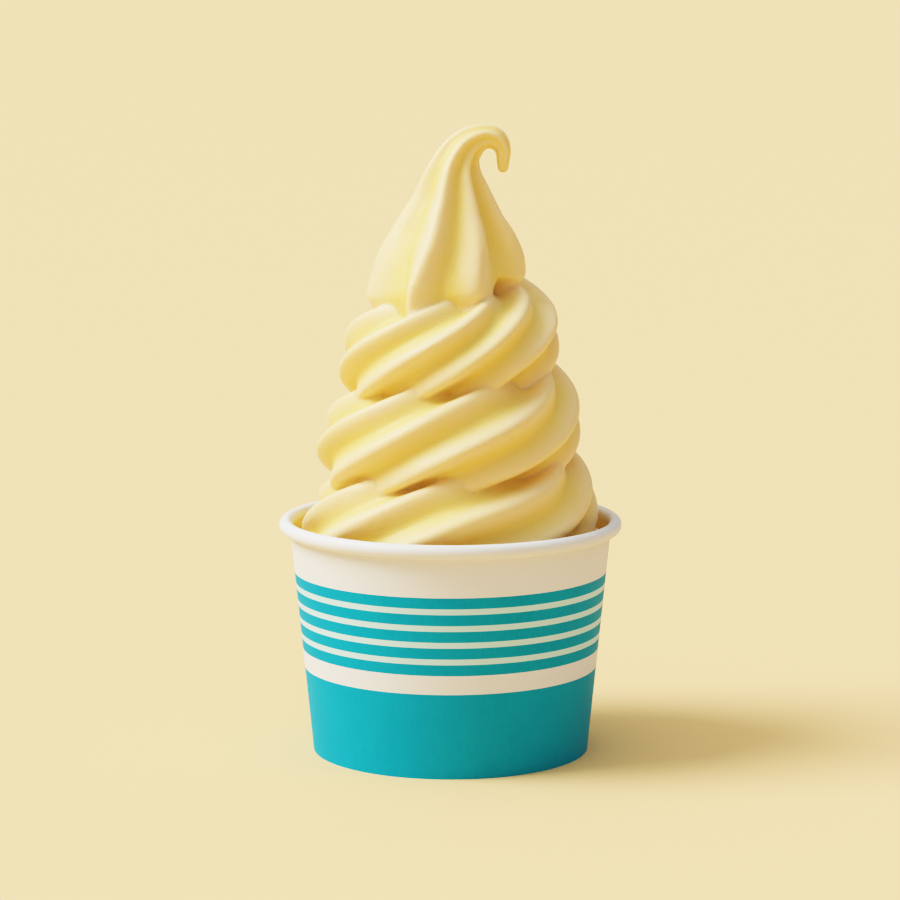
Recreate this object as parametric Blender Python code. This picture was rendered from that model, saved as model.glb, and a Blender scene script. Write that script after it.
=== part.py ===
"""Pineapple soft serve, swirled into a striped paper cup.

Metres, +Z up. The origin is in the middle of the cup's foot, on the surface that the cup stands on.
-Y is the front. The hook at the tip of the swirl curls over to +X.
All sizes below are in millimetres and angles in degrees; the meshes are scaled to metres.
"""
import math

import bmesh
import bpy
import numpy as np

MM = 0.001

# Paper cup
CUP_HEIGHT = 66.0
FOOT_RADIUS = 38.75
WALL_FLARE = 0.0994          # growth of the wall's radius for each millimetre of height
PAPER = 0.5
CLEARANCE = 0.35             # between pieces that touch
RIM_RADIUS = 48.0            # over the rolled bead
BEAD_WIDTH = 3.6
BEAD_HEIGHT = 3.9
BEAD_STEPS = 10
HEM_HEIGHT = 5.0             # inner leaf of the folded foot
BASE_TOP = 6.5               # upper face of the recessed base
SKIRT_FOOT = 1.2             # lower edge of the base's skirt, in the folded foot
CUP_SIDES = 64

# Printed bands on the wall: heights of their lower and upper edges
FOOT_BAND = (0.0, 24.0)
STRIPE_LOWEST = 29.35
STRIPE_PITCH = 4.68
STRIPE_WIDTH = 3.03
STRIPE_COUNT = 5

# Soft serve rope: a fluted cord of eight lobes, coiled upward from right over the back to the left
LOBES = 8
LOBE_DEPTH = 0.205           # of the rope's radius, from crest to valley
CREST_ROUND = 0.4            # 0 is a knife edge
ROPE_RADIUS = 17.9
ROPE_RADIUS_TOP = 17.3       # in the third turn
COIL_AXIS = 1.0              # offset of the coil's axis to +X
COIL_PITCH = 24.0
COIL_MIDDLE = 89.75          # height of the rope's centre at the front of the second turn
COIL_TILT = 2.0              # the front half of each turn climbs less than the back half
COIL_START = -2.6            # turns, counted from the front of the second turn
COIL_SHOULDER = 1.25         # where the rope begins to dive into the peak
LOBE_TURN = 0.95             # turns of the lobes about the rope for each turn of the coil
LOBE_PHASE = 40.0
LOBE_LEAN = 10.0             # crests lie closer together on the rope's underside
SQUASH = 0.12                # of the third turn's upper half, under the weight of the peak
SQUASH_TURNS = (0.75, 1.0)   # where the squash begins and is complete
RINGS_PER_TURN = 120
RING_POINTS = 192

# Reach of the rope from the coil's axis, each half turn from the left of the lowest one
REACH_FIRST = -2.75
REACH_STEP = 0.5
REACH = (38.0, 40.0, 41.8, 42.9, 40.7, 38.7, 36.1, 32.6, 30.1)

# Uneven twist of the lobes as the rope was laid, each eighth of a turn from the left of the first one
DRIFT_FIRST = -1.25
DRIFT_STEP = 0.125
DRIFT = (-13, -4, 0, -16, -18, -12, -8, -6,
         -4, -5, 0, -6, -8, -4, 0, 4,
         6, 2, 0, -6, 0)

# Rope's end, under the peak: turn, distance from the axis, height, lean, radius, added twist
SHOULDER = (
    (1.25, 12.9, 118.0, 2.0, 17.2, 0.0),
    (1.50, 9.6, 126.0, 10.0, 16.9, 4.0),
    (1.75, 5.4, 131.0, 30.0, 14.5, 8.0),
    (1.90, 3.0, 133.0, 40.0, 11.0, 8.0),
)

# Peak, from its base to the tip of the hook: station, offset to +X, height, lean, radius
PEAK = (
    (1.78, -0.6, 121.5, 102.5, 13.0),
    (1.82, -0.6, 123.4, 102.5, 18.4),
    (1.88, -0.7, 126.3, 102.5, 21.5),
    (1.94, -0.8, 129.6, 102.0, 22.6),
    (2.00, -0.9, 132.8, 100.0, 22.6),
    (2.05, -0.8, 135.4, 97.0, 22.0),
    (2.10, -0.6, 138.1, 95.0, 21.1),
    (2.20, -0.1, 142.3, 92.0, 19.5),
    (2.30, 0.5, 147.0, 90.0, 16.9),
    (2.40, 0.7, 151.2, 88.0, 14.2),
    (2.50, 1.0, 155.3, 88.0, 11.8),
    (2.60, 1.1, 158.9, 86.0, 10.0),
    (2.70, 1.3, 161.7, 82.0, 8.7),
    (2.80, 1.8, 164.4, 74.0, 7.4),
    (2.90, 2.8, 166.8, 62.0, 6.5),
    (3.00, 4.6, 169.5, 42.0, 5.4),
    (3.10, 6.9, 171.3, 26.0, 4.5),
    (3.20, 9.5, 172.2, 4.0, 3.75),
    (3.30, 12.0, 171.8, -22.0, 3.4),
    (3.40, 13.7, 170.4, -50.0, 2.85),
    (3.50, 14.6, 168.0, -78.0, 2.3),
    (3.60, 14.5, 165.6, -90.0, 1.95),
    (3.70, 14.5, 163.8, -90.0, 1.65),
)
PEAK_STEP = 0.01
TIP_STEPS = 6

# Angles of the peak's four front crests, from the left round the front to the right
FRONT_CRESTS = (
    (1.78, 86, 29, -25, -84),
    (2.00, 86, 28, -28, -86),
    (2.10, 86, 21, -29, -84),
    (2.20, 86, 17, -30, -82),
    (2.40, 86, 17, -29, -78),
    (2.80, 80, 20, -26, -76),
    (3.80, 80, 24, -24, -76),
)

# Depth of the peak's flutes, as a share of the rope's
FLUTES = ((1.78, 0.4), (1.94, 0.8), (2.02, 1.05), (2.12, 1.3), (2.30, 1.5), (2.90, 1.5), (3.30, 1.0), (3.70, 0.4))

# Filling: soft serve that fills the cup, and the core inside the coil
FILL_TOP = 47.5
CORE = ((22.0, 30.0), (22.0, 70.0), (16.0, 95.0), (10.0, 115.0), (3.0, 128.0))
FUSE_SIZE = 0.7
FUSE_SMOOTHING = 2
SOLID_SHARE = 0.035          # share of the fused surface's faces that the solid keeps

COLOURS = {
    "cup_white": ((0.86, 0.82, 0.74), 0.55),
    "cup_teal": ((0.01, 0.36, 0.42), 0.5),
    "base_paper": ((0.84, 0.80, 0.72), 0.6),
    "soft_serve": ((0.90, 0.74, 0.33), 0.42),
}


def wall_outside(z):
    """Outer radius of the cup's wall at a height."""
    return FOOT_RADIUS + WALL_FLARE * z


def wall_inside(z):
    """Inner radius of the cup's wall at a height."""
    return wall_outside(z) - PAPER


def through(knots, values, x):
    """Smooth curve through the values at the knots, read at x."""
    knots = np.asarray(knots, float)
    values = np.asarray(values, float)
    x = np.asarray(x, float)
    gap = np.diff(knots)
    rise = np.diff(values) / gap
    slope = np.empty_like(values)
    slope[1:-1] = (rise[:-1] * gap[1:] + rise[1:] * gap[:-1]) / (gap[:-1] + gap[1:])
    slope[0] = rise[0]
    slope[-1] = rise[-1]
    i = np.clip(np.searchsorted(knots, x) - 1, 0, len(knots) - 2)
    t = (x - knots[i]) / gap[i]
    start = (2 * t ** 3 - 3 * t ** 2 + 1) * values[i] + (t ** 3 - 2 * t ** 2 + t) * gap[i] * slope[i]
    end = (3 * t ** 2 - 2 * t ** 3) * values[i + 1] + (t ** 3 - t ** 2) * gap[i] * slope[i + 1]
    return start + end


def column(stations, index, x):
    """One column of a table of stations, read smoothly at x."""
    knots = [row[0] for row in stations]
    return through(knots, [row[index] for row in stations], x)


def lobe(turn):
    """Outline of one lobe: 1 on its rounded crest, -1 in the hollow valley."""
    dip = np.sqrt(np.sin(turn / 2) ** 2 + CREST_ROUND ** 2) - CREST_ROUND
    return 1 - 2 * dip / (math.sqrt(1 + CREST_ROUND ** 2) - CREST_ROUND)


def ring_frames(turn, lean):
    """Outward, forward and upward directions of the rings at a turn of the coil.

    At a lean of 0 a ring stands upright across the coil; at 90 it lies flat, as in the peak."""
    outward = np.stack([np.sin(turn), -np.cos(turn), 0 * turn], 1)
    forward = np.stack([np.cos(turn), np.sin(turn), 0 * turn], 1)
    up = np.array([0.0, 0.0, 1.0])
    raised = np.cos(lean)[:, None] * up - np.sin(lean)[:, None] * forward
    travel = np.cos(lean)[:, None] * forward + np.sin(lean)[:, None] * up
    return outward, raised, travel


def fluted_rings(centre, turn, lean, radius, outline, squash):
    """Rings of points around the centres, with the lobes' outline between 0 and 1 of the radius."""
    angle = np.linspace(0, 2 * math.pi, RING_POINTS, endpoint=False)
    outward, raised, travel = ring_frames(turn, lean)
    upward = np.sin(angle)[None] * (1 - squash[:, None] * (np.sin(angle) > 0)[None])
    spoke = np.cos(angle)[None, :, None] * outward[:, None] + upward[..., None] * raised[:, None]
    return centre[:, None] + (radius[:, None] * outline)[..., None] * spoke, travel


def coil_rings():
    """The rope, from inside the filling up to its end under the peak."""
    turns = np.arange(COIL_START, COIL_SHOULDER, 1 / RINGS_PER_TURN)
    theta = 2 * math.pi * turns
    radius = ROPE_RADIUS + (ROPE_RADIUS_TOP - ROPE_RADIUS) * np.clip(turns - 0.25, 0, 1)
    reach_knots = REACH_FIRST + REACH_STEP * np.arange(len(REACH))
    away = through(reach_knots, REACH, turns) - radius
    height = COIL_MIDDLE + COIL_PITCH * turns - COIL_TILT * np.sin(theta)
    drift_knots = DRIFT_FIRST + DRIFT_STEP * np.arange(len(DRIFT))
    drift = through(drift_knots, DRIFT, np.maximum(turns, DRIFT_FIRST))
    lean = 0 * turns

    ends = np.arange(COIL_SHOULDER, SHOULDER[-1][0], 1 / RINGS_PER_TURN)
    turns = np.concatenate([turns, ends])
    theta = 2 * math.pi * turns
    away = np.concatenate([away, column(SHOULDER, 1, ends)])
    height = np.concatenate([height, column(SHOULDER, 2, ends)])
    lean = np.radians(np.concatenate([lean, column(SHOULDER, 3, ends)]))
    radius = np.concatenate([radius, column(SHOULDER, 4, ends)])
    drift = np.concatenate([drift, column(SHOULDER, 5, ends)])

    centre = np.stack([COIL_AXIS + away * np.sin(theta), -away * np.cos(theta), height], 1)
    phase = np.radians(LOBE_PHASE + drift) + LOBE_TURN * theta
    angle = np.linspace(0, 2 * math.pi, RING_POINTS, endpoint=False)
    leaned = angle - math.radians(LOBE_LEAN) * (1 - np.cos(angle))
    outline = 1 + LOBE_DEPTH / 2 * (lobe(LOBES * (leaned[None] - phase[:, None])) - 1)
    squash = SQUASH * np.interp(turns, SQUASH_TURNS, (0, 1))
    rings, travel = fluted_rings(centre, theta, lean, radius, outline, squash)
    return rings, centre[0], centre[-1]


def crest_count(angle, front):
    """Position of an angle among the crests: whole numbers are crests. The back crests are evenly spread."""
    back = np.linspace(front[3], front[0] - 360, LOBES - 2)[1:-1]
    crests = np.concatenate([front, back])
    crests = np.concatenate([crests + 360, crests, crests - 360])
    return np.interp(-angle, -crests, np.arange(len(crests)))


def peak_rings():
    """The drawn-up peak, from its rounded base to the tip of the hook."""
    station = np.arange(PEAK[0][0], PEAK[-1][0] + PEAK_STEP / 2, PEAK_STEP)
    centre = np.stack([column(PEAK, 1, station), 0 * station, column(PEAK, 2, station)], 1)
    lean = np.radians(column(PEAK, 3, station))
    radius = column(PEAK, 4, station)
    front = np.stack([column(FRONT_CRESTS, i, station) for i in range(1, 5)], 1)
    angle = np.degrees(np.linspace(0, 2 * math.pi, RING_POINTS, endpoint=False))
    angle = (angle + 180) % 360 - 180
    count = np.stack([crest_count(angle, row) for row in front])
    depth = LOBE_DEPTH * np.interp(station, [row[0] for row in FLUTES], [row[1] for row in FLUTES])
    outline = 1 + depth[:, None] / 2 * (lobe(2 * math.pi * count) - 1)
    rings, travel = fluted_rings(centre, 0 * station, lean, radius, outline, 0 * station)

    closing = np.linspace(0, math.pi / 2, TIP_STEPS, endpoint=False)[1:]
    round_end = [centre[-1] + (rings[-1] - centre[-1]) * math.cos(a) + travel[-1] * radius[-1] * math.sin(a)
                 for a in closing]
    tip = centre[-1] + travel[-1] * radius[-1]
    return np.concatenate([rings, round_end]), centre[0], tip


def inside_cup(points):
    """Keeps points within the cup's wall, a clearance away from it."""
    radius = np.maximum(np.hypot(points[..., 0], points[..., 1]), 1e-6)
    limit = np.where(points[..., 2] < CUP_HEIGHT, wall_inside(points[..., 2]) - CLEARANCE, RIM_RADIUS)
    scale = np.minimum(1, limit / radius)
    return points * np.stack([scale, scale, np.ones_like(scale)], -1)


def add_tube(bm, rings, start, end):
    """Skins rings of points, closed by a fan at either end."""
    rows = [[bm.verts.new(point * MM) for point in ring] for ring in rings]
    for low, high in zip(rows[:-1], rows[1:]):
        for i in range(len(low)):
            j = (i + 1) % len(low)
            bm.faces.new((low[i], low[j], high[j], high[i]))
    for row, point, flip in ((rows[0], start, False), (rows[-1], end, True)):
        apex = bm.verts.new(point * MM)
        for i in range(len(row)):
            pair = (row[i], row[(i + 1) % len(row)])
            bm.faces.new((apex,) + (pair if flip else pair[::-1]))


def add_turned(bm, profile, sides):
    """A solid of revolution from (radius, height) pairs, closed on the axis."""
    angle = np.linspace(0, 2 * math.pi, sides, endpoint=False)
    rings = [np.stack([r * np.cos(angle), r * np.sin(angle), 0 * angle + z], 1) for r, z in profile]
    add_tube(bm, rings, np.array([0, 0, profile[0][1]]), np.array([0, 0, profile[-1][1]]))


def material(name):
    """A Principled material in the colour and roughness of its name."""
    colour, roughness = COLOURS[name]
    mat = bpy.data.materials.new(name)
    mat.use_nodes = True
    shader = mat.node_tree.nodes["Principled BSDF"]
    shader.inputs["Base Color"].default_value = (*colour, 1)
    shader.inputs["Roughness"].default_value = roughness
    shader.inputs["Metallic"].default_value = 0.0
    mat.diffuse_color = (*colour, 1)
    return mat


def add_object(name, bm, materials):
    """Turns a bmesh into a named object with its faces outward."""
    bmesh.ops.recalc_face_normals(bm, faces=bm.faces)
    mesh = bpy.data.meshes.new(name)
    bm.to_mesh(mesh)
    bm.free()
    for item in materials:
        mesh.materials.append(item)
    obj = bpy.data.objects.new(name, mesh)
    bpy.context.scene.collection.objects.link(obj)
    mesh.shade_smooth()
    mesh.set_sharp_from_angle(angle=math.radians(40))
    return obj


def add_closed_band(bm, profile, sides):
    """A ring whose section is the closed loop of (radius, height) pairs."""
    rows = []
    for i in range(sides):
        a = 2 * math.pi * i / sides
        rows.append([bm.verts.new((r * math.cos(a) * MM, r * math.sin(a) * MM, z * MM)) for r, z in profile])
    for i in range(sides):
        here, there = rows[i], rows[(i + 1) % sides]
        for k in range(len(profile)):
            n = (k + 1) % len(profile)
            bm.faces.new((here[k], there[k], there[n], here[n]))


def bands():
    """Lower and upper edges of the teal bands, from the foot up."""
    stripes = [STRIPE_LOWEST + STRIPE_PITCH * i for i in range(STRIPE_COUNT)]
    return [FOOT_BAND] + [(low, low + STRIPE_WIDTH) for low in stripes]


def bead_arc():
    """Outline of the rolled rim, from under its outer side over the top to the inside of the wall."""
    middle_r = RIM_RADIUS - BEAD_WIDTH / 2
    middle_z = CUP_HEIGHT - BEAD_HEIGHT / 2
    first, last = math.radians(-125), math.radians(215)
    arc = []
    for i in range(BEAD_STEPS + 1):
        a = first + (last - first) * i / BEAD_STEPS
        arc.append((middle_r + BEAD_WIDTH / 2 * math.cos(a), middle_z + BEAD_HEIGHT / 2 * math.sin(a)))
    return arc


def skirt_outside(z):
    """Outer radius of the base's skirt, which stands in the folded foot of the wall."""
    return wall_inside(z) - CLEARANCE


def leaf_outside(z):
    """Outer radius of the folded foot's inner leaf."""
    return skirt_outside(z) - PAPER - CLEARANCE


def make_wall():
    """The side of the cup: flared wall, rolled rim, and foot folded inward and up."""
    edges = sorted({edge for band in bands() for edge in band})
    outside = [(wall_outside(z), z) for z in edges]
    inside = [(wall_inside(PAPER), PAPER)]
    fold = [(leaf_outside(PAPER), PAPER), (leaf_outside(HEM_HEIGHT), HEM_HEIGHT),
            (leaf_outside(HEM_HEIGHT) - PAPER, HEM_HEIGHT), (leaf_outside(0) - PAPER, 0.0)]
    profile = outside + bead_arc() + inside + fold
    bm = bmesh.new()
    add_closed_band(bm, profile, CUP_SIDES)
    wall = add_object("cup_wall", bm, [material("cup_white"), material("cup_teal")])
    for face in wall.data.polygons:
        height = face.center.z / MM
        radius = math.hypot(face.center.x, face.center.y) / MM
        on_print = any(low < height < high for low, high in bands())
        if on_print and radius > wall_outside(height) - PAPER / 2:
            face.material_index = 1
    return wall


def make_base():
    """The recessed base of the cup, with its skirt down in the folded foot."""
    under = BASE_TOP - PAPER
    profile = [(skirt_outside(BASE_TOP), BASE_TOP), (skirt_outside(SKIRT_FOOT), SKIRT_FOOT),
               (skirt_outside(SKIRT_FOOT) - PAPER, SKIRT_FOOT), (skirt_outside(under) - PAPER, under)]
    bm = bmesh.new()
    add_turned(bm, profile, CUP_SIDES)
    return add_object("cup_base", bm, [material("base_paper")])


def make_soft_serve():
    """Filling, core, coil and peak, fused into one body."""
    bm = bmesh.new()
    for rings, start, end in (coil_rings(), peak_rings()):
        add_tube(bm, inside_cup(rings), start, end)
    low = BASE_TOP + CLEARANCE
    fill_edge = wall_inside(FILL_TOP) - CLEARANCE
    add_turned(bm, [(wall_inside(low) - CLEARANCE, low), (fill_edge, FILL_TOP)], CUP_SIDES * 2)
    add_turned(bm, CORE, CUP_SIDES)
    body = add_object("soft_serve", bm, [material("soft_serve")])
    fuse = body.modifiers.new("fuse", "REMESH")
    fuse.mode = "VOXEL"
    fuse.voxel_size = FUSE_SIZE * MM
    fuse.use_smooth_shade = True
    relax = body.modifiers.new("relax", "SMOOTH")
    relax.factor = 0.5
    relax.iterations = FUSE_SMOOTHING
    thin = body.modifiers.new("thin", "DECIMATE")
    thin.ratio = SOLID_SHARE
    thin.use_collapse_triangulate = True
    return body


def main():
    for obj in list(bpy.data.objects):
        bpy.data.objects.remove(obj)
    make_wall()
    make_base()
    make_soft_serve()


main()
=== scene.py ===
"""Pineapple soft serve, swirled into a striped paper cup, on a plain pale table.

The frame is in metres, +Z up, with -Y the front. Sizes here are in millimetres, and angles in degrees
unless a comment says otherwise; the meshes are scaled to metres as they are made, and the distances in the
materials are in metres.
"""
import math

import bmesh
import bpy
import numpy as np
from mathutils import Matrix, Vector, kdtree


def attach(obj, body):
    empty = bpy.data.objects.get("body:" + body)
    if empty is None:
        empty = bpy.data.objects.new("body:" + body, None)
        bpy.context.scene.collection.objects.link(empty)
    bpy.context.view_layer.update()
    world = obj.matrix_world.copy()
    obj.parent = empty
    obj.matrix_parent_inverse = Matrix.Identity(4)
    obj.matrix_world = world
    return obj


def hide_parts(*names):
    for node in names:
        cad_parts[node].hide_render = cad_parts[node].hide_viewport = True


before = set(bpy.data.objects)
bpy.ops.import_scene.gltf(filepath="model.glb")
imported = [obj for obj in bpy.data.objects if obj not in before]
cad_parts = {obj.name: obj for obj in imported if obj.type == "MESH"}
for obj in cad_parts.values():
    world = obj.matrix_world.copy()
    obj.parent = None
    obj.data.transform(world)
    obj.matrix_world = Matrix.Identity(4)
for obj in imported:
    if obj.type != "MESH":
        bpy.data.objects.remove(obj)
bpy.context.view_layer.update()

MM = 0.001

# Paper cup
CUP_HEIGHT = 66.0
FOOT_RADIUS = 38.75
WALL_FLARE = 0.0994          # growth of the wall's radius for each millimetre of height
PAPER = 0.5
CLEARANCE = 0.35             # between pieces that touch
RIM_RADIUS = 48.0            # over the rolled bead
BEAD_WIDTH = 3.6
BEAD_HEIGHT = 3.9
BEAD_STEPS = 36
HEM_HEIGHT = 5.0             # inner leaf of the folded foot
BASE_TOP = 6.5               # upper face of the recessed base
CUP_SIDES = 288
WALL_ROWS = 1.5              # largest height of a row of faces on the wall
WALL_TOP = 61.5              # where the wall's outer side goes under the bead
BEAD_FROM = -125             # the bead's outline, from under its outer side
BEAD_TO = 215                # over the top to the inside of the wall
SHARP_FROM = 40              # angle between faces from which an edge is shaded sharp

# Lap seam at the back of the wall, where the paper's outer end lies over its inner end
SEAM_AT = 98.0               # from +X round to +Y
SEAM_STEP = 0.3
SEAM_LAP = 7.0               # breadth of the lap
SEAM_FADE = 9.0              # where the outer end settles back on the round
SEAM_SHIFT = 0.25            # mismatch of the printed bands at the seam
SHIFT_MARGIN = 1.0           # how far beyond the bands' edges it reaches
SEAM_EDGE = 0.0015           # angle in radians that the outer end's edge takes up
BEAD_LAP = 0.6               # share of the step that shows on the bead

# Printed bands on the wall: heights of their lower and upper edges
FOOT_BAND = (0.0, 24.0)
STRIPE_LOWEST = 29.35
STRIPE_PITCH = 4.68
STRIPE_WIDTH = 3.03
STRIPE_COUNT = 5
TEAL_SLOT = 1                # the cup's second material, on the bands
GAP_SLOT = 2                 # its third, on the pale gaps between them

# Soft serve rope: a fluted cord of eight lobes, coiled upward from right over the back to the left
LOBES = 8
LOBE_DEPTH = 0.205           # of the rope's radius, from crest to valley
CREST_ROUND = 0.75           # 0 is a knife edge
ROPE_RADIUS = 17.9
ROPE_RADIUS_TOP = 17.3       # in the third turn
COIL_AXIS = 1.0              # offset of the coil's axis to +X
COIL_PITCH = 24.0
COIL_MIDDLE = 89.75          # height of the rope's centre at the front of the second turn
COIL_TILT = 2.0              # the front half of each turn climbs less than the back half
COIL_START = -2.6            # turns, counted from the front of the second turn
COIL_SHOULDER = 1.25         # where the rope begins to dive into the peak
LOBE_TURN = 0.95             # turns of the lobes about the rope for each turn of the coil
LOBE_PHASE = 40.0
LOBE_LEAN = 10.0             # crests lie closer together on the rope's underside
SQUASH = 0.12                # of the third turn's upper half, under the weight of the peak
SQUASH_TURNS = (0.75, 1.0)   # where the squash begins and is complete
RINGS_PER_TURN = 160
RING_POINTS = 288

# Reach of the rope from the coil's axis, each half turn from the right, a little before the rope's start
REACH_FIRST = -2.75
REACH_STEP = 0.5
REACH = (38.0, 40.0, 41.8, 42.9, 40.7, 38.7, 36.1, 32.6, 30.1)

# Uneven twist of the lobes as the rope was laid, each eighth of a turn from the left of the first one
DRIFT_FIRST = -1.25
DRIFT_STEP = 0.125
DRIFT = (-13, -4, 0, -16, -18, -12, -8, -6,
         -4, -5, 0, -6, -8, -4, 0, 4,
         6, 2, 7, 18, 10)

# Rope's end, under the peak: turn, distance from the axis, height, lean, radius, added twist
SHOULDER = (
    (1.25, 12.9, 118.0, 2.0, 17.2, 10.0),
    (1.50, 9.6, 124.5, 10.0, 16.6, 6.0),
    (1.75, 5.4, 128.0, 28.0, 14.5, 4.0),
    (1.90, 3.0, 130.0, 36.0, 11.0, 4.0),
)

# Peak, from its base to the tip of the hook: station, offset to +X, height, lean, radius
PEAK = (
    (1.78, -1.2, 119.9, 96.5, 13.0),
    (1.82, -1.2, 121.8, 96.5, 18.4),
    (1.88, -1.2, 124.8, 96.5, 21.3),
    (1.94, -1.2, 128.6, 96.5, 22.2),
    (2.00, -1.1, 132.3, 96.5, 22.3),
    (2.05, -0.9, 135.2, 97.0, 21.9),
    (2.10, -0.6, 138.1, 95.0, 21.1),
    (2.20, -0.1, 142.3, 92.0, 19.5),
    (2.30, 0.5, 147.0, 90.0, 16.9),
    (2.40, 0.7, 151.2, 88.0, 14.2),
    (2.50, 1.0, 155.3, 88.0, 11.8),
    (2.60, 1.1, 158.9, 86.0, 10.0),
    (2.70, 1.3, 161.7, 82.0, 8.7),
    (2.80, 1.8, 164.4, 74.0, 7.4),
    (2.90, 2.8, 166.8, 62.0, 6.5),
    (3.00, 4.6, 169.5, 42.0, 5.4),
    (3.10, 6.9, 171.3, 26.0, 4.5),
    (3.20, 9.5, 172.2, 4.0, 3.75),
    (3.30, 12.0, 171.8, -22.0, 3.4),
    (3.40, 13.7, 170.4, -50.0, 2.85),
    (3.50, 14.6, 168.0, -78.0, 2.3),
    (3.60, 14.5, 165.6, -90.0, 1.95),
    (3.70, 14.5, 163.8, -90.0, 1.65),
)
PEAK_STEP = 0.01
TIP_STEPS = 6

# Angles of the peak's four front crests and the valleys between them, from the left round to the right
FRONT_FLUTES = (
    (1.78, 86, 36, 24, 0, -25, -56, -84),
    (2.00, 86, 36, 24, -2, -26, -56, -86),
    (2.10, 86, 42, 22, -3, -29, -57, -84),
    (2.20, 86, 48, 19, -4, -32, -57, -82),
    (2.40, 86, 50, 18, -5, -33, -57, -78),
    (2.80, 80, 50, 16, -6, -33, -55, -76),
    (3.80, 80, 52, 20, -3, -30, -53, -76),
)

# Depth of the peak's flutes, as a share of the rope's
FLUTES = ((1.78, 0.4), (1.94, 0.8), (2.02, 1.05), (2.12, 1.3), (2.30, 1.5), (2.90, 1.5), (3.30, 1.0),
          (3.70, 0.4))

# Unevenness of the peak round its ring, at angles from 0 at the front to 90 at the left: share of the radius
# that is taken off. The third crest stands back, and the first valley is shallow.
PEAK_INSET = ((-180, 0.0), (-70, 0.0), (-32, 0.13), (-14, 0.02), (-3, -0.02), (12, 0.0), (22, 0.0),
              (45, -0.05), (78, 0.0), (180, 0.0))

# The peak's base: share of the radius by which it swells at each angle, and its lift in millimetres
BASE_SWELL = ((-180, 0.0), (-70, 0.0), (-50, 0.04), (-26, 0.06), (-8, 0.03), (5, -0.02), (26, 0.06),
              (45, 0.0), (180, 0.0))
BASE_LIFT = ((-180, 0.0), (-110, 0.0), (-90, 1.3), (-78, 0.7), (-66, 1.5), (-56, 2.0), (-47, -0.6),
             (-38, -2.6), (-26, -1.2), (-8, -0.3), (12, 0.0), (26, 0.6), (60, 0.0), (180, 0.0))
BASE_FULL = 1.96             # station below which swell and lift are complete
BASE_FADED = 2.16            # station above which there is none

# Tuck under the base, as a share of the radius. It is deepest in the pocket at the right, between the last
# crests of the coil.
BASE_TUCK = ((-180, 0.0), (-110, 0.0), (-92, 0.08), (-74, 0.12), (-66, 0.45), (-52, 0.45), (-45, 0.06),
             (0, 0.06), (8, 0.0), (30, 0.0), (50, 0.04), (70, 0.07), (90, 0.07), (115, 0.0), (180, 0.0))
TUCK_FULL = 1.92             # station below which the tuck is complete
TUCK_FADED = 1.97            # station above which there is none

# Filling: soft serve that fills the cup up to the coil, and the core inside the coil as (radius, height)
FILL_TOP = 60.5
FILL_SLOPE = 7.0             # breadth of its sloping edge
FILL_RISE = 1.8
FILL_SIDES = 192
CORE = ((30.0, 30.0), (34.0, 58.0), (31.8, 71.0), (29.6, 84.0), (26.8, 96.0), (22.5, 107.0), (10.0, 118.0),
        (3.0, 128.0))
CORE_SIDES = 64
FUSE_SIZE = 0.6
FUSE_SMOOTHING = 2
SWIRL_TRIANGLES = 185000

# Painted glow on the wall's inner side: golden light bounced from the soft serve, painted into the paper's
# colour
GLOW_FULL = 0.4              # share of the paper's thickness, from its outer side, where it is complete
GLOW_NONE = 0.16             # and where there is none
GLOW_ABOVE = 2.0             # height above the base over which it fades in
GLOW_BELOW = 0.3             # below the rim's top, where it has faded out

# Colours: a pair is the two tones of a surface's mottling
# Soft serve: the crest tone carries painted light and the valley tone painted shade, pale where crests are
# lit and golden where valleys lie in shade
CREST_PAINTED_LIGHT_CREAM = (0.90, 0.70, 0.42)
VALLEY_PAINTED_SHADE_GOLD = (0.86, 0.65, 0.225)
DRAWN_CREAM = (0.89, 0.70, 0.42)
# Painted golden glow of light bounced from the soft serve onto the cup's inner wall
PAINTED_GLOW_GOLD = (0.83, 0.62, 0.20)
WHITE_PAPER = ((0.80, 0.81, 0.85), (0.82, 0.83, 0.87))
TEAL_PRINT = ((0.006, 0.355, 0.56), (0.012, 0.405, 0.60))
MINT_GAPS = ((0.56, 0.83, 0.86), (0.60, 0.85, 0.88))
BASE_PAPER = ((0.82, 0.82, 0.82), (0.84, 0.84, 0.84))
TABLE = ((0.894, 0.618, 0.324), (0.902, 0.626, 0.332))
TABLE_HALF = 40.0            # half of its side, in metres

# Camera, as the photograph was taken
CAMERA_AIM = (-0.15, 0.0, 84.8)
CAMERA_AWAY = 895.0
CAMERA_ABOVE = 8.5
LENS = 127.9

# Light: the sun's direction, strength and angle, and the surround's brightness by height, which goes from 0
# at the horizon to 1 overhead
KEY_TOWARDS = (-0.88, -0.13, 0.94)
KEY_STRENGTH = 3.2
KEY_SPREAD = 32
KEY_COLOUR = (0.97, 1.01, 1.0)
HORIZON_TOP = 0.02
HORIZON_LIGHT = (1.32, 0.93, 0.472)
LOW_SKY = (0.07, 0.35)
LOW_SKY_LIGHT = (0.04, 0.07, 0.16)
OVERHEAD = 0.50
OVERHEAD_LIGHT = (0.97, 0.965, 0.85)
SIDE_DIMMING = (0.48, 0.50, 0.34)  # share taken off the overhead light at the right and added at the left

# Tones
SHOULDER_START = 0.4         # brightness where the highlights begin to roll off
SHOULDER_END = 4.0
TOE = 0.7                    # deepening of the darkest tones
TONE_KNOTS = (0.02, 0.05, 0.1, 0.15, 0.2, 0.25, 0.3, 0.35, SHOULDER_START,
              0.5, 0.65, 0.85, 1.1, 1.4, 1.8, 2.4, 3.2)


def wall_outside(z):
    """Outer radius of the cup's wall at a height."""
    return FOOT_RADIUS + WALL_FLARE * z


def wall_inside(z):
    """Inner radius of the cup's wall at a height."""
    return wall_outside(z) - PAPER


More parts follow.
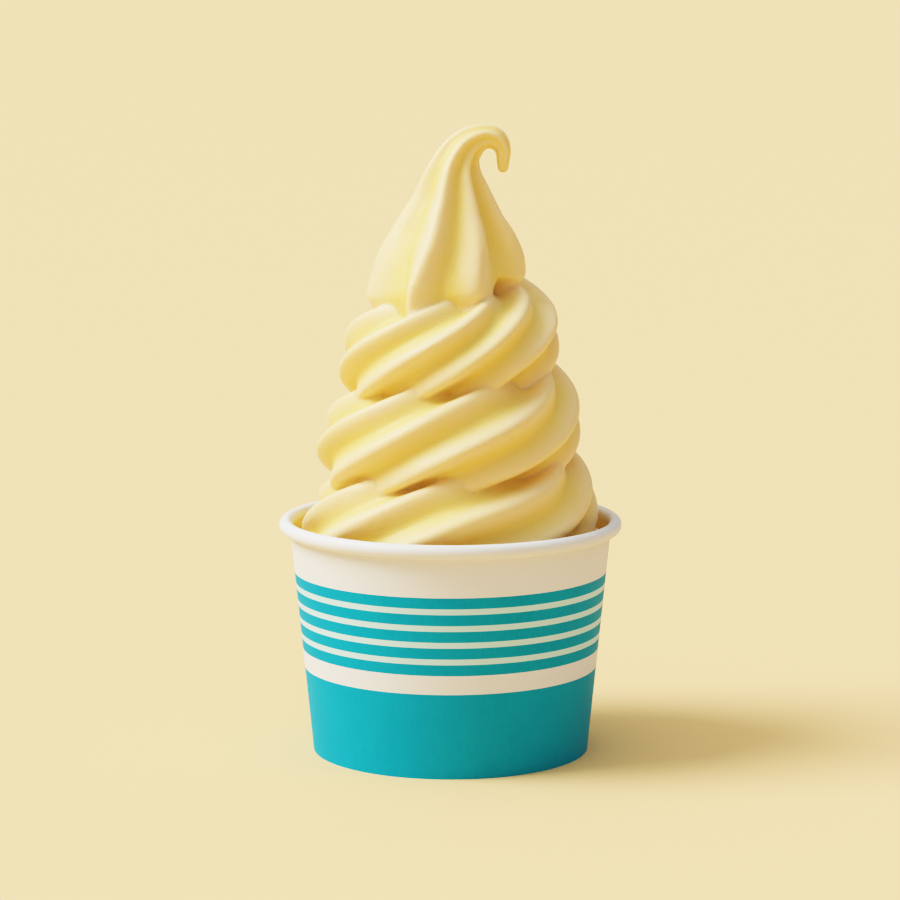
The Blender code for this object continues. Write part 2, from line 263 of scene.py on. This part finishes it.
def through(knots, values, x):
    """Smooth curve through the values at the knots, read at x."""
    knots = np.asarray(knots, float)
    values = np.asarray(values, float)
    x = np.asarray(x, float)
    gap = np.diff(knots)
    rise = np.diff(values) / gap
    slope = np.empty_like(values)
    slope[1:-1] = (rise[:-1] * gap[1:] + rise[1:] * gap[:-1]) / (gap[:-1] + gap[1:])
    slope[0] = rise[0]
    slope[-1] = rise[-1]
    i = np.clip(np.searchsorted(knots, x) - 1, 0, len(knots) - 2)
    t = (x - knots[i]) / gap[i]
    start = (2 * t ** 3 - 3 * t ** 2 + 1) * values[i] + (t ** 3 - 2 * t ** 2 + t) * gap[i] * slope[i]
    end = (3 * t ** 2 - 2 * t ** 3) * values[i + 1] + (t ** 3 - t ** 2) * gap[i] * slope[i + 1]
    return start + end


def column(stations, index, x):
    """One column of a table of stations, read smoothly at x."""
    knots = [row[0] for row in stations]
    return through(knots, [row[index] for row in stations], x)


def lobe(turn):
    """Outline of one lobe: 1 on its rounded crest, -1 in the hollow valley."""
    dip = np.sqrt(np.sin(turn / 2) ** 2 + CREST_ROUND ** 2) - CREST_ROUND
    return 1 - 2 * dip / (math.sqrt(1 + CREST_ROUND ** 2) - CREST_ROUND)


def ring_frames(turn, lean):
    """Outward, upward and forward directions of the rings at a turn of the coil.

    At a lean of 0 a ring stands upright across the coil; at 90 it lies flat, as in the peak."""
    outward = np.stack([np.sin(turn), -np.cos(turn), 0 * turn], 1)
    forward = np.stack([np.cos(turn), np.sin(turn), 0 * turn], 1)
    up = np.array([0.0, 0.0, 1.0])
    raised = np.cos(lean)[:, None] * up - np.sin(lean)[:, None] * forward
    travel = np.cos(lean)[:, None] * forward + np.sin(lean)[:, None] * up
    return outward, raised, travel


def fluted_rings(centre, turn, lean, radius, outline, squash):
    """Rings of points around the centres, with the lobes' outline between 0 and 1 of the radius."""
    angle = np.linspace(0, 2 * math.pi, RING_POINTS, endpoint=False)
    outward, raised, travel = ring_frames(turn, lean)
    upward = np.sin(angle)[None] * (1 - squash[:, None] * (np.sin(angle) > 0)[None])
    spoke = np.cos(angle)[None, :, None] * outward[:, None] + upward[..., None] * raised[:, None]
    return centre[:, None] + (radius[:, None] * outline)[..., None] * spoke, (outward, raised, travel)


def coil_path(turns):
    """Angle round the coil, distance from its axis, height, lean, radius and lobe phase at the turns."""
    theta = 2 * math.pi * turns
    laid = np.minimum(turns, COIL_SHOULDER)
    radius = ROPE_RADIUS + (ROPE_RADIUS_TOP - ROPE_RADIUS) * np.clip(laid - 0.25, 0, 1)
    reach_knots = REACH_FIRST + REACH_STEP * np.arange(len(REACH))
    away = through(reach_knots, REACH, laid) - radius
    height = COIL_MIDDLE + COIL_PITCH * laid - COIL_TILT * np.sin(2 * math.pi * laid)
    drift_knots = DRIFT_FIRST + DRIFT_STEP * np.arange(len(DRIFT))
    drift = through(drift_knots, DRIFT, np.maximum(laid, DRIFT_FIRST))
    ending = turns > COIL_SHOULDER
    late = np.maximum(turns, COIL_SHOULDER)
    away = np.where(ending, column(SHOULDER, 1, late), away)
    height = np.where(ending, column(SHOULDER, 2, late), height)
    lean = np.radians(np.where(ending, column(SHOULDER, 3, late), 0))
    radius = np.where(ending, column(SHOULDER, 4, late), radius)
    drift = np.where(ending, column(SHOULDER, 5, late), drift)
    phase = np.radians(LOBE_PHASE + drift) + LOBE_TURN * theta
    return theta, away, height, lean, radius, phase


def coil_rings():
    """The rope, from inside the filling up to its end under the peak."""
    turns = np.arange(COIL_START, SHOULDER[-1][0], 1 / RINGS_PER_TURN)
    theta, away, height, lean, radius, phase = coil_path(turns)
    centre = np.stack([COIL_AXIS + away * np.sin(theta), -away * np.cos(theta), height], 1)
    angle = np.linspace(0, 2 * math.pi, RING_POINTS, endpoint=False)
    leaned = angle - math.radians(LOBE_LEAN) * (1 - np.cos(angle))
    shape = lobe(LOBES * (leaned[None] - phase[:, None]))
    outline = 1 + LOBE_DEPTH / 2 * (shape - 1)
    squash = SQUASH * np.interp(turns, SQUASH_TURNS, (0, 1))
    rings, frames = fluted_rings(centre, theta, lean, radius, outline, squash)
    return rings, centre, frames, shape, phase


def flute_count(angle, front):
    """Position of an angle among the flutes: whole numbers are crests and halves are valleys.

    The flutes at the back are evenly spread."""
    back = np.linspace(front[-1], front[0] - 360, 2 * LOBES - len(front) + 2)[1:-1]
    marks = np.concatenate([front, back])
    marks = np.concatenate([marks + 360, marks, marks - 360])
    return np.interp(-angle, -marks, np.arange(len(marks)) / 2)


def peak_rings():
    """The drawn-up peak, from its rounded base to the tip of the hook."""
    station = np.arange(PEAK[0][0], PEAK[-1][0] + PEAK_STEP / 2, PEAK_STEP)
    centre = np.stack([column(PEAK, 1, station), 0 * station, column(PEAK, 2, station)], 1)
    lean = np.radians(column(PEAK, 3, station))
    radius = column(PEAK, 4, station)
    front = np.stack([column(FRONT_FLUTES, i, station) for i in range(1, len(FRONT_FLUTES[0]))], 1)
    angle = np.degrees(np.linspace(0, 2 * math.pi, RING_POINTS, endpoint=False))
    angle = (angle + 180) % 360 - 180
    count = np.stack([flute_count(angle, row) for row in front])
    depth = LOBE_DEPTH * np.interp(station, *zip(*FLUTES))
    shape = lobe(2 * math.pi * count)
    inset, swell, lift, tuck = (
        np.interp(angle, *zip(*table)) for table in (PEAK_INSET, BASE_SWELL, BASE_LIFT, BASE_TUCK))
    near_base = np.interp(station, (BASE_FULL, BASE_FADED), (1, 0))
    near_base = near_base ** 2 * (3 - 2 * near_base)
    tucked = np.interp(station, (TUCK_FULL, TUCK_FADED), (1, 0))
    outline = 1 + depth[:, None] / 2 * (shape - 1) - inset
    outline = outline + np.outer(near_base, swell) - np.outer(tucked, tuck)
    rings, frames = fluted_rings(centre, 0 * station, lean, radius, outline, 0 * station)
    rings = rings + np.outer(near_base, lift)[..., None] * frames[2][:, None]
    return rings, centre, frames, shape, radius[-1]


def round_tip(ring, centre, travel, radius):
    """Smaller and smaller rings that round off the end of the hook, and its last point."""
    closing = np.linspace(0, math.pi / 2, TIP_STEPS, endpoint=False)[1:]
    rings = [centre + (ring - centre) * math.cos(a) + travel * radius * math.sin(a) for a in closing]
    return np.array(rings), centre + travel * radius


def inside_cup(points):
    """Keeps points within the cup's wall, a clearance away from it."""
    radius = np.maximum(np.hypot(points[..., 0], points[..., 1]), 1e-6)
    limit = np.where(points[..., 2] < CUP_HEIGHT, wall_inside(points[..., 2]) - CLEARANCE, RIM_RADIUS)
    scale = np.minimum(1, limit / radius)
    return points * np.stack([scale, scale, np.ones_like(scale)], -1)


def add_tube(bm, rings, start, end):
    """Skins rings of points, closed by a fan at either end."""
    rows = [[bm.verts.new(point * MM) for point in ring] for ring in rings]
    for low, high in zip(rows[:-1], rows[1:]):
        for i in range(len(low)):
            j = (i + 1) % len(low)
            bm.faces.new((low[i], low[j], high[j], high[i]))
    for row, point, flip in ((rows[0], start, False), (rows[-1], end, True)):
        apex = bm.verts.new(point * MM)
        for i in range(len(row)):
            pair = (row[i], row[(i + 1) % len(row)])
            bm.faces.new((apex,) + (pair if flip else pair[::-1]))


def add_turned(bm, profile, sides):
    """A solid of revolution from (radius, height) pairs, closed on the axis."""
    angle = np.linspace(0, 2 * math.pi, sides, endpoint=False)
    rings = [np.stack([r * np.cos(angle), r * np.sin(angle), 0 * angle + z], 1) for r, z in profile]
    add_tube(bm, rings, np.array([0, 0, profile[0][1]]), np.array([0, 0, profile[-1][1]]))


def new_object(name, mesh):
    obj = bpy.data.objects.new(name, mesh)
    bpy.context.scene.collection.objects.link(obj)
    return obj


def baked(obj):
    """Applies an object's modifiers."""
    graph = bpy.context.evaluated_depsgraph_get()
    mesh = bpy.data.meshes.new_from_object(obj.evaluated_get(graph))
    old = obj.data
    obj.modifiers.clear()
    obj.data = mesh
    bpy.data.meshes.remove(old)


def add_grain(obj, sweeps):
    """Writes on each vertex where it lies in its rope: grain holds its place across and along the rope in
    millimetres, turning with the lobes; crest is 1 on a crest and -1 in a valley."""
    points = np.empty(len(obj.data.vertices) * 3)
    obj.data.vertices.foreach_get("co", points)
    points = points.reshape(-1, 3) / MM
    columns = []
    for rings, middle, frames, shape, turn in sweeps:
        count = shape.shape[1]
        length = np.concatenate([[0], np.cumsum(np.linalg.norm(np.diff(middle, axis=0), axis=1))])
        spread = [np.repeat(item, count, axis=0) for item in (middle, *frames, length, turn)]
        columns.append((rings.reshape(-1, 3), shape.ravel(), *spread))
    samples, crest, centre, outward, raised, travel, along, phase = map(np.concatenate, zip(*columns))
    tree = kdtree.KDTree(len(samples))
    for i, point in enumerate(samples):
        tree.insert(point, i)
    tree.balance()
    near = np.array([tree.find(point)[1] for point in points])
    offset = points - centre[near]
    across = np.sum(offset * outward[near], axis=1)
    upward = np.sum(offset * raised[near], axis=1)
    ahead = np.sum(offset * travel[near], axis=1)
    turn = phase[near]
    grain = np.stack([across * np.cos(turn) + upward * np.sin(turn),
                      upward * np.cos(turn) - across * np.sin(turn),
                      along[near] + ahead], 1)
    layer = obj.data.attributes.new("grain", "FLOAT_VECTOR", "POINT")
    layer.data.foreach_set("vector", grain.astype(np.float32).ravel())
    layer = obj.data.attributes.new("crest", "FLOAT", "POINT")
    layer.data.foreach_set("value", crest[near].astype(np.float32))


def make_swirl():
    """Filling, core, coil and peak, fused into one body."""
    bm = bmesh.new()
    coil, coil_centre, coil_frames, coil_shape, coil_phase = coil_rings()
    peak, peak_centre, peak_frames, peak_shape, tip_radius = peak_rings()
    coil = inside_cup(coil)
    add_tube(bm, coil, coil_centre[0], coil_centre[-1])
    closing, tip = round_tip(peak[-1], peak_centre[-1], peak_frames[2][-1], tip_radius)
    add_tube(bm, np.concatenate([peak, closing]), peak_centre[0], tip)
    low = BASE_TOP + CLEARANCE
    fill_edge = wall_inside(FILL_TOP) - CLEARANCE
    filling = [(wall_inside(low) - CLEARANCE, low), (fill_edge, FILL_TOP)]
    add_turned(bm, filling + [(fill_edge - FILL_SLOPE, FILL_TOP + FILL_RISE)], FILL_SIDES)
    add_turned(bm, CORE, CORE_SIDES)
    bmesh.ops.recalc_face_normals(bm, faces=bm.faces)
    mesh = bpy.data.meshes.new("swirl")
    bm.to_mesh(mesh)
    bm.free()
    body = new_object("swirl", mesh)
    fuse = body.modifiers.new("fuse", "REMESH")
    fuse.mode = "VOXEL"
    fuse.voxel_size = FUSE_SIZE * MM
    fuse.use_smooth_shade = True
    relax = body.modifiers.new("relax", "SMOOTH")
    relax.factor = 0.5
    relax.iterations = FUSE_SMOOTHING
    baked(body)
    thin = body.modifiers.new("thin", "DECIMATE")
    thin.ratio = min(1, SWIRL_TRIANGLES / (2 * len(body.data.polygons)))
    thin.use_collapse_triangulate = True
    baked(body)
    body.data.shade_smooth()
    add_grain(body, ((coil, coil_centre, coil_frames, coil_shape, coil_phase),
                     (peak, peak_centre, peak_frames, peak_shape, np.zeros(len(peak)))))
    return body


def bands():
    """Lower and upper edges of the teal bands, from the foot up."""
    stripes = [STRIPE_LOWEST + STRIPE_PITCH * i for i in range(STRIPE_COUNT)]
    return [FOOT_BAND] + [(low, low + STRIPE_WIDTH) for low in stripes]


def bead_arc():
    """Outline of the rolled rim, from under its outer side over the top to the inside of the wall."""
    middle_r = RIM_RADIUS - BEAD_WIDTH / 2
    middle_z = CUP_HEIGHT - BEAD_HEIGHT / 2
    first, last = math.radians(BEAD_FROM), math.radians(BEAD_TO)
    arc = []
    for i in range(BEAD_STEPS + 1):
        a = first + (last - first) * i / BEAD_STEPS
        arc.append((middle_r + BEAD_WIDTH / 2 * math.cos(a), middle_z + BEAD_HEIGHT / 2 * math.sin(a)))
    return arc


def rows_between(knots):
    """Heights that take in the knots, with no gap over WALL_ROWS."""
    rows = [knots[0]]
    for low, high in zip(knots[:-1], knots[1:]):
        steps = math.ceil((high - low) / WALL_ROWS)
        rows += [low + (high - low) * (i + 1) / steps for i in range(steps)]
    return rows


def seam_rise(arc):
    """How far the wall stands out at a distance round from the seam's edge."""
    fade = (arc - SEAM_LAP) / SEAM_FADE
    return SEAM_STEP * (0.5 + 0.5 * math.cos(math.pi * min(max(fade, 0), 1)))


def make_cup():
    """The side of the cup: flared wall, rolled rim, and foot folded inward and up."""
    edges = sorted({edge for band in bands() for edge in band})
    outer = rows_between(edges + [WALL_TOP])
    leaf = wall_inside(0) - CLEARANCE - PAPER - CLEARANCE
    hem = leaf + WALL_FLARE * HEM_HEIGHT
    inner = rows_between([PAPER, CUP_HEIGHT - BEAD_HEIGHT])[::-1]
    profile = [(wall_outside(z), z, 1.0) for z in outer]
    profile += [(r, z, BEAD_LAP) for r, z in bead_arc()]
    profile += [(wall_inside(z), z, 0.0) for z in inner[1:]]
    profile += [(leaf, PAPER, 0.0), (hem, HEM_HEIGHT, 0.0)]
    profile += [(hem - PAPER, HEM_HEIGHT, 0.0), (leaf - PAPER, 0.0, 0.0)]

    angles = [2 * math.pi * i / CUP_SIDES for i in range(CUP_SIDES)] + [-SEAM_EDGE]
    angles = sorted(a % (2 * math.pi) for a in angles)
    seam = math.radians(SEAM_AT)
    bm = bmesh.new()
    columns = []
    for a in angles:
        rise = seam_rise(a * RIM_RADIUS)
        share = a / (2 * math.pi) - 0.5
        points = []
        for k, (r, z, lap) in enumerate(profile):
            r += lap * rise
            if k < len(outer) and FOOT_BAND[1] - SHIFT_MARGIN < z < edges[-1] + SHIFT_MARGIN:
                z += SEAM_SHIFT * share
            points.append(bm.verts.new((r * math.cos(a + seam) * MM, r * math.sin(a + seam) * MM, z * MM)))
        columns.append(points)
    for i, here in enumerate(columns):
        there = columns[(i + 1) % len(columns)]
        for k in range(len(profile)):
            n = (k + 1) % len(profile)
            face = bm.faces.new((here[k], there[k], there[n], here[n]))
            height = (profile[k][1] + profile[n][1]) / 2
            if k < len(outer) - 1 and any(low < height < high for low, high in bands()):
                face.material_index = TEAL_SLOT
            elif k < len(outer) - 1 and STRIPE_LOWEST < height < edges[-1]:
                face.material_index = GAP_SLOT
    bmesh.ops.recalc_face_normals(bm, faces=bm.faces)
    mesh = bpy.data.meshes.new("paper_cup")
    bm.to_mesh(mesh)
    bm.free()
    mesh.shade_smooth()
    mesh.set_sharp_from_angle(angle=math.radians(SHARP_FROM))
    return new_object("paper_cup", mesh)


class Nodes:
    """A node tree, with short ways to add shader nodes to it."""

    def __init__(self, tree):
        self.tree = tree

    def set(self, socket, value):
        """A constant, a colour or another node's output goes into a socket."""
        if isinstance(value, bpy.types.NodeSocket):
            self.tree.links.new(value, socket)
        elif isinstance(value, tuple) and len(value) == 3 and socket.type == "RGBA":
            socket.default_value = (*value, 1)
        else:
            socket.default_value = value

    def add(self, kind, **values):
        """A node; capitalised names are its inputs, and the others its settings."""
        node = self.tree.nodes.new("ShaderNode" + kind)
        for name, value in values.items():
            if name[0].isupper():
                self.set(node.inputs[name.replace("_", " ")], value)
            else:
                setattr(node, name, value)
        return node

    def attribute(self, name):
        return self.add("Attribute", attribute_name=name)

    def stretched(self, vector, scale):
        return self.add("Mapping", Vector=vector, Scale=scale).outputs["Vector"]

    def noise(self, vector, scale, detail=2.0, roughness=0.5):
        node = self.add("TexNoise", Vector=vector, Scale=scale, Detail=detail, Roughness=roughness)
        return node.outputs["Fac"]

    def spread(self, value, low, high, to_low=0.0, to_high=1.0):
        """Maps a value's range to another, held at its ends."""
        node = self.add("MapRange", clamp=True, Value=value)
        self.set(node.inputs["From Min"], low)
        self.set(node.inputs["From Max"], high)
        self.set(node.inputs["To Min"], to_low)
        self.set(node.inputs["To Max"], to_high)
        return node.outputs["Result"]

    def math(self, operation, first, second):
        node = self.add("Math", operation=operation)
        self.set(node.inputs[0], first)
        self.set(node.inputs[1], second)
        return node.outputs["Value"]

    def vector(self, operation, first, second):
        node = self.add("VectorMath", operation=operation)
        self.set(node.inputs[0], first)
        self.set(node.inputs[1], second)
        return node.outputs["Vector"]

    def falling(self, value, low, high):
        """1 below the range and 0 above it."""
        return self.math("SUBTRACT", 1.0, self.spread(value, low, high))

    def mix(self, share, first, second):
        node = self.add("Mix", data_type="RGBA")
        self.set(node.inputs["Factor"], share)
        self.set(node.inputs[6], first)
        self.set(node.inputs[7], second)
        return node.outputs[2]

    def bump(self, height, distance, strength=1.0, normal=None):
        node = self.add("Bump", Height=height, Distance=distance, Strength=strength)
        if normal is not None:
            self.set(node.inputs["Normal"], normal)
        return node.outputs["Normal"]


class Surface(Nodes):
    """A material with a Principled shader."""

    def __init__(self, name):
        self.material = bpy.data.materials.new(name)
        self.material.use_nodes = True
        super().__init__(self.material.node_tree)
        self.shader = self.tree.nodes["Principled BSDF"]

    def shade(self, **values):
        for name, value in values.items():
            self.set(self.shader.inputs[name.replace("_", " ")], value)


def soft_serve_material():
    """Creamy frozen dessert, faintly drawn along the rope, with painted light and shade: a painted highlight
    makes the crests pale and painted shade makes the valleys golden.
    """
    s = Surface("soft_serve_cream")
    grain = s.attribute("grain").outputs["Vector"]
    crest = s.attribute("crest").outputs["Fac"]
    place = s.add("TexCoord").outputs["Object"]

    cloud = s.noise(place, 60.0, 3.0)
    drawn = s.noise(s.stretched(grain, (1.0, 1.0, 0.06)), 1.1, 4.0, 0.6)
    ripple = s.noise(s.stretched(grain, (0.25, 0.25, 1.0)), 0.9, 3.0, 0.55)
    crystal = s.noise(place, 1300.0, 2.0)

    # Painted light and shade: the pale crest tone goes on the crests and the golden shade tone in the
    # valleys, with random mottling mixed in
    hollow = s.spread(crest, -1.0, 0.6, 1.0, 0.0)
    hollow = s.math("ADD", hollow, s.spread(cloud, 0.3, 0.7, -0.15, 0.15))
    colour = s.mix(hollow, CREST_PAINTED_LIGHT_CREAM, VALLEY_PAINTED_SHADE_GOLD)
    colour = s.mix(s.spread(drawn, 0.35, 0.7, 0.0, 0.12), colour, DRAWN_CREAM)
    normal = s.bump(drawn, 0.00025, 0.5)
    normal = s.bump(ripple, 0.00015, 0.5, normal)
    normal = s.bump(crystal, 0.0001, 0.6, normal)
    s.shade(Base_Color=colour, Roughness=s.spread(cloud, 0.3, 0.7, 0.40, 0.50), Normal=normal,
            Subsurface_Weight=0.5, Subsurface_Radius=(1.0, 0.7, 0.2), Subsurface_Scale=0.002,
            Specular_IOR_Level=0.35)
    return s.material


def add_painted_glow(s, place, paint):
    """The paint, with a painted golden glow of light bounced from the soft serve on the wall's inner side,
    from the base to the bead.
    """
    split = s.add("SeparateXYZ", Vector=place).outputs
    level = s.add("CombineXYZ", X=split["X"], Y=split["Y"]).outputs["Vector"]
    away = s.add("VectorMath", operation="LENGTH", Vector=level).outputs["Value"]
    flared = s.math("SUBTRACT", away, s.math("MULTIPLY", split["Z"], WALL_FLARE))
    inner = s.falling(flared, (FOOT_RADIUS - GLOW_FULL * PAPER) * MM, (FOOT_RADIUS - GLOW_NONE * PAPER) * MM)
    above = s.spread(split["Z"], BASE_TOP * MM, (BASE_TOP + GLOW_ABOVE) * MM)
    below = s.falling(split["Z"], (CUP_HEIGHT - BEAD_HEIGHT) * MM, (CUP_HEIGHT - GLOW_BELOW) * MM)
    glow_share = s.math("MULTIPLY", inner, s.math("MULTIPLY", above, below))
    return s.mix(glow_share, paint, PAINTED_GLOW_GOLD)


def paper_material(name, tones, roughness, shine=0.4, painted_glow=False):
    """Coated paper: a faint fibrous mottling between two tones, and a fine uneven surface."""
    s = Surface(name)
    place = s.add("TexCoord").outputs["Object"]
    cloud = s.noise(place, 90.0, 4.0, 0.6)
    fibre = s.noise(s.stretched(place, (1.0, 1.0, 0.35)), 1400.0, 3.0, 0.6)
    mottled = s.math("ADD", s.spread(cloud, 0.3, 0.7), s.spread(fibre, 0.35, 0.65))
    paint = s.mix(s.math("MULTIPLY", mottled, 0.5), *tones)
    # Painted golden glow of bounced light on the wall's inner side
    if painted_glow:
        paint = add_painted_glow(s, place, paint)
    normal = s.bump(fibre, 0.00005, 0.35)
    normal = s.bump(cloud, 0.0003, 0.25, normal)
    rough = s.spread(fibre, 0.3, 0.7, roughness - 0.05, roughness + 0.06)
    s.shade(Base_Color=paint, Roughness=rough, Normal=normal, Specular_IOR_Level=shine)
    return s.material


def table_material():
    """The plain pale table top."""
    s = Surface("pale_table")
    place = s.add("TexCoord").outputs["Object"]
    cloud = s.noise(place, 3.0, 3.0)
    s.shade(Base_Color=s.mix(cloud, *TABLE), Roughness=0.9, Specular_IOR_Level=0.1)
    return s.material


def make_floor():
    mesh = bpy.data.meshes.new("table_top")
    corners = [(x * TABLE_HALF, y * TABLE_HALF, 0) for x, y in ((-1, -1), (1, -1), (1, 1), (-1, 1))]
    mesh.from_pydata(corners, [], [(0, 1, 2, 3)])
    mesh.materials.append(table_material())
    floor = new_object("table_top", mesh)


def make_camera():
    data = bpy.data.cameras.new("camera")
    data.lens = LENS
    data.sensor_width = 36.0
    data.clip_end = 200.0
    camera = bpy.data.objects.new("camera", data)
    bpy.context.scene.collection.objects.link(camera)
    above = math.radians(CAMERA_ABOVE)
    aim = Vector(CAMERA_AIM)
    spot = aim + CAMERA_AWAY * Vector((0, -math.cos(above), math.sin(above)))
    camera.location = spot * MM
    camera.rotation_euler = (aim - spot).to_track_quat("-Z", "Y").to_euler()
    bpy.context.scene.camera = camera


def add_sun(name, towards, strength, spread, colour):
    """A distant soft light from a direction."""
    data = bpy.data.lights.new(name, "SUN")
    data.energy = strength
    data.angle = math.radians(spread)
    data.color = colour
    light = bpy.data.objects.new(name, data)
    bpy.context.scene.collection.objects.link(light)
    light.rotation_euler = Vector(towards).to_track_quat("Z", "Y").to_euler()


def make_lights():
    """A soft neutral key from the left, and a surround.

    The surround is pale as the table at the horizon, dark low in the sky, and bright overhead, where it is
    brighter to the left and dimmer to the right."""
    world = bpy.data.worlds.new("studio")
    bpy.context.scene.world = world
    world.use_nodes = True
    sky = Nodes(world.node_tree)
    towards = sky.add("SeparateXYZ", Vector=sky.add("TexCoord").outputs["Generated"]).outputs
    ramp = sky.add("ValToRGB", Fac=towards["Z"])
    stops = ramp.color_ramp.elements
    stops.remove(stops[1])
    stops[0].position = HORIZON_TOP
    stops[0].color = (*HORIZON_LIGHT, 1)
    low_sky = [(height, LOW_SKY_LIGHT) for height in LOW_SKY]
    for height, light in (*low_sky, (OVERHEAD, OVERHEAD_LIGHT)):
        stops.new(height).color = (*light, 1)

    side = sky.math("MULTIPLY", sky.spread(towards["Z"], LOW_SKY[1], OVERHEAD), towards["X"])
    dimmed = sky.add("VectorMath", operation="SCALE", Scale=side)
    dimmed.inputs[0].default_value = [light * share for light, share in zip(OVERHEAD_LIGHT, SIDE_DIMMING)]
    shown = sky.vector("SUBTRACT", ramp.outputs["Color"], dimmed.outputs["Vector"])
    shown = sky.vector("MAXIMUM", shown, (0.0, 0.0, 0.0))
    sky.set(sky.tree.nodes["Background"].inputs["Color"], shown)
    add_sun("key", KEY_TOWARDS, KEY_STRENGTH, KEY_SPREAD, KEY_COLOUR)


def soften_highlights():
    """Rolls the brightest tones off towards white, as a camera does, so that lit cream turns pale."""
    settings = bpy.context.scene.view_settings
    settings.view_transform = "Standard"
    settings.use_curve_mapping = True
    mapping = settings.curve_mapping
    mapping.white_level = (SHOULDER_END,) * 3
    curve = mapping.curves[3]
    curve.points[0].location = (0, 0)
    curve.points[1].location = (1, 1)
    room = 1 - SHOULDER_START
    for light in TONE_KNOTS:
        toe = light * (1 - TOE * (1 - light / SHOULDER_START) ** 2)
        shown = toe if light <= SHOULDER_START else 1 - room * math.exp((SHOULDER_START - light) / room)
        curve.points.new(light / SHOULDER_END, shown)
    mapping.update()


def main():
    soften_highlights()
    make_floor()
    make_camera()
    make_lights()
    swirl = make_swirl()
    swirl.data.materials.append(soft_serve_material())
    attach(swirl, "root")
    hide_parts("soft_serve")
    cup = make_cup()
    # The white paper carries a painted golden glow of bounced light on the wall's inner side
    cup.data.materials.append(paper_material("white_paper", WHITE_PAPER, 0.5, painted_glow=True))
    cup.data.materials.append(paper_material("teal_print", TEAL_PRINT, 0.5, shine=0.1))
    cup.data.materials.append(paper_material("mint_gaps", MINT_GAPS, 0.5))
    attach(cup, "root")
    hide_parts("cup_wall")
    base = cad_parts["cup_base"]
    base.material_slots[0].material = paper_material("base_paper", BASE_PAPER, 0.6)


main()
